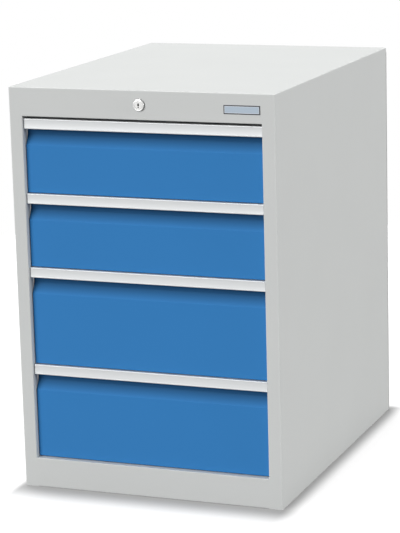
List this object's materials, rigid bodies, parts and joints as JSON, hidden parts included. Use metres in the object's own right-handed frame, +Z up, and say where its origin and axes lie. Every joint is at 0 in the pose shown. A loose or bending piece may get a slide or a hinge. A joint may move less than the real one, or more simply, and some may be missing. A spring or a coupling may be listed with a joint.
{
  "type": "industrial drawer cabinet",
  "caption": "Steel workshop cabinet with full-extension drawers on ball slides, full-width handle strips and a central lock that bars every drawer.",
  "frame": {"origin": "on the floor, at the middle of the overall box", "axes": "+X to the right along the front, +Z up; the drawers open towards -Y"},
  "size_m": [0.555, 0.74, 0.819],
  "materials": {
    "housing_paint": "light grey powder coat, fine texture, satin",
    "front_paint": "blue powder coat, fine texture, satin",
    "drawer_paint": "light grey powder coat, satin",
    "handle_aluminium": "pale anodised extrusion, matt",
    "zinc_sheet": "bright zinc plate",
    "zinc_screws": "bright zinc plate",
    "bearing_steel": "polished balls in a bright cage",
    "lock_chrome": "satin nickel plate",
    "badge": "printed plate, pale blue-grey with a dark rim, bare"
  },
  "bodies": {
    "housing": {"side_panel_right": "housing_paint", "side_panel_left": "housing_paint", "top_panel": "housing_paint", "front_header": "housing_paint", "front_plinth": "housing_paint", "floor_panel": "housing_paint", "rear_panel": "housing_paint", "rear_panel_screws": "zinc_screws", "post_front_right": "zinc_sheet", "post_front_left": "zinc_sheet", "post_rear_right": "zinc_sheet", "post_rear_left": "zinc_sheet", "rail_screws": "zinc_screws", "badge_plate": "badge", "lock_barrel": "lock_chrome", "lock_nut": "zinc_screws", "lock_lever_pivot": "zinc_screws", "lock_bar_guides": "zinc_sheet", "drawer_1_rails_fixed": "zinc_sheet", "drawer_2_rails_fixed": "zinc_sheet", "drawer_3_rails_fixed": "zinc_sheet", "drawer_4_rails_fixed": "zinc_sheet"},
    "lock_core": {"lock_plug": "lock_chrome", "lock_cam": "zinc_sheet", "lock_cam_screw": "zinc_screws"},
    "lock_lever_body": {"lock_lever": "zinc_sheet"},
    "lock_bar_body": {"lock_bar": "zinc_sheet"},
    "drawer_1": {"drawer_1_front": "front_paint", "drawer_1_handle": "handle_aluminium", "drawer_1_box": "drawer_paint", "drawer_1_front_screws": "zinc_screws", "drawer_1_rails_drawer": "zinc_sheet"},
    "drawer_1_rails_middle_body": {"drawer_1_rails_middle": "zinc_sheet"},
    "drawer_1_cages_outer_body": {"drawer_1_cages_outer": "bearing_steel"},
    "drawer_1_cages_inner_body": {"drawer_1_cages_inner": "bearing_steel"},
    "drawer_2": {"drawer_2_front": "front_paint", "drawer_2_handle": "handle_aluminium", "drawer_2_box": "drawer_paint", "drawer_2_front_screws": "zinc_screws", "drawer_2_rails_drawer": "zinc_sheet"},
    "drawer_2_rails_middle_body": {"drawer_2_rails_middle": "zinc_sheet"},
    "drawer_2_cages_outer_body": {"drawer_2_cages_outer": "bearing_steel"},
    "drawer_2_cages_inner_body": {"drawer_2_cages_inner": "bearing_steel"},
    "drawer_3": {"drawer_3_front": "front_paint", "drawer_3_handle": "handle_aluminium", "drawer_3_box": "drawer_paint", "drawer_3_front_screws": "zinc_screws", "drawer_3_rails_drawer": "zinc_sheet"},
    "drawer_3_rails_middle_body": {"drawer_3_rails_middle": "zinc_sheet"},
    "drawer_3_cages_outer_body": {"drawer_3_cages_outer": "bearing_steel"},
    "drawer_3_cages_inner_body": {"drawer_3_cages_inner": "bearing_steel"},
    "drawer_4": {"drawer_4_front": "front_paint", "drawer_4_handle": "handle_aluminium", "drawer_4_box": "drawer_paint", "drawer_4_front_screws": "zinc_screws", "drawer_4_rails_drawer": "zinc_sheet"},
    "drawer_4_rails_middle_body": {"drawer_4_rails_middle": "zinc_sheet"},
    "drawer_4_cages_outer_body": {"drawer_4_cages_outer": "bearing_steel"},
    "drawer_4_cages_inner_body": {"drawer_4_cages_inner": "bearing_steel"}
  },
  "joints": [
    {"name": "lock_turn", "type": "hinge", "parent": "housing", "child": "lock_core", "pos_m": [0, -0.366, 0.791], "axis": [0, 1, 0], "range_deg": [0, 90]},
    {"name": "lock_lever_turn", "type": "hinge", "parent": "housing", "child": "lock_lever_body", "pos_m": [-0.125, -0.331, 0.791], "axis": [0, 1, 0], "range_deg": [-6.86, 0]},
    {"name": "lock_bar_slide", "type": "slide", "parent": "housing", "child": "lock_bar_body", "axis": [0, 0, -1], "range_m": [0, 0.01619]},
    {"name": "drawer_1_slide", "type": "slide", "parent": "housing", "child": "drawer_1", "axis": [0, -1, 0], "range_m": [0, 0.6]},
    {"name": "drawer_1_rails_middle_slide", "type": "slide", "parent": "housing", "child": "drawer_1_rails_middle_body", "axis": [0, -1, 0], "range_m": [0, 0.3]},
    {"name": "drawer_1_cages_outer_slide", "type": "slide", "parent": "housing", "child": "drawer_1_cages_outer_body", "axis": [0, -1, 0], "range_m": [0, 0.15]},
    {"name": "drawer_1_cages_inner_slide", "type": "slide", "parent": "housing", "child": "drawer_1_cages_inner_body", "axis": [0, -1, 0], "range_m": [0, 0.45]},
    {"name": "drawer_2_slide", "type": "slide", "parent": "housing", "child": "drawer_2", "axis": [0, -1, 0], "range_m": [0, 0.6]},
    {"name": "drawer_2_rails_middle_slide", "type": "slide", "parent": "housing", "child": "drawer_2_rails_middle_body", "axis": [0, -1, 0], "range_m": [0, 0.3]},
    {"name": "drawer_2_cages_outer_slide", "type": "slide", "parent": "housing", "child": "drawer_2_cages_outer_body", "axis": [0, -1, 0], "range_m": [0, 0.15]},
    {"name": "drawer_2_cages_inner_slide", "type": "slide", "parent": "housing", "child": "drawer_2_cages_inner_body", "axis": [0, -1, 0], "range_m": [0, 0.45]},
    {"name": "drawer_3_slide", "type": "slide", "parent": "housing", "child": "drawer_3", "axis": [0, -1, 0], "range_m": [0, 0.6]},
    {"name": "drawer_3_rails_middle_slide", "type": "slide", "parent": "housing", "child": "drawer_3_rails_middle_body", "axis": [0, -1, 0], "range_m": [0, 0.3]},
    {"name": "drawer_3_cages_outer_slide", "type": "slide", "parent": "housing", "child": "drawer_3_cages_outer_body", "axis": [0, -1, 0], "range_m": [0, 0.15]},
    {"name": "drawer_3_cages_inner_slide", "type": "slide", "parent": "housing", "child": "drawer_3_cages_inner_body", "axis": [0, -1, 0], "range_m": [0, 0.45]},
    {"name": "drawer_4_slide", "type": "slide", "parent": "housing", "child": "drawer_4", "axis": [0, -1, 0], "range_m": [0, 0.6]},
    {"name": "drawer_4_rails_middle_slide", "type": "slide", "parent": "housing", "child": "drawer_4_rails_middle_body", "axis": [0, -1, 0], "range_m": [0, 0.3]},
    {"name": "drawer_4_cages_outer_slide", "type": "slide", "parent": "housing", "child": "drawer_4_cages_outer_body", "axis": [0, -1, 0], "range_m": [0, 0.15]},
    {"name": "drawer_4_cages_inner_slide", "type": "slide", "parent": "housing", "child": "drawer_4_cages_inner_body", "axis": [0, -1, 0], "range_m": [0, 0.45]}
  ],
  "couplings": [
    {"joint": "lock_lever_turn", "follows": "lock_bar_slide", "rad_per_m": -7.3985},
    {"joint": "lock_turn", "follows": "lock_bar_slide", "rad_per_m": 97.027},
    {"joint": "drawer_1_rails_middle_slide", "follows": "drawer_1_slide", "ratio": 0.5},
    {"joint": "drawer_1_cages_outer_slide", "follows": "drawer_1_slide", "ratio": 0.25},
    {"joint": "drawer_1_cages_inner_slide", "follows": "drawer_1_slide", "ratio": 0.75},
    {"joint": "drawer_2_rails_middle_slide", "follows": "drawer_2_slide", "ratio": 0.5},
    {"joint": "drawer_2_cages_outer_slide", "follows": "drawer_2_slide", "ratio": 0.25},
    {"joint": "drawer_2_cages_inner_slide", "follows": "drawer_2_slide", "ratio": 0.75},
    {"joint": "drawer_3_rails_middle_slide", "follows": "drawer_3_slide", "ratio": 0.5},
    {"joint": "drawer_3_cages_outer_slide", "follows": "drawer_3_slide", "ratio": 0.25},
    {"joint": "drawer_3_cages_inner_slide", "follows": "drawer_3_slide", "ratio": 0.75},
    {"joint": "drawer_4_rails_middle_slide", "follows": "drawer_4_slide", "ratio": 0.5},
    {"joint": "drawer_4_cages_outer_slide", "follows": "drawer_4_slide", "ratio": 0.25},
    {"joint": "drawer_4_cages_inner_slide", "follows": "drawer_4_slide", "ratio": 0.75}
  ]
}
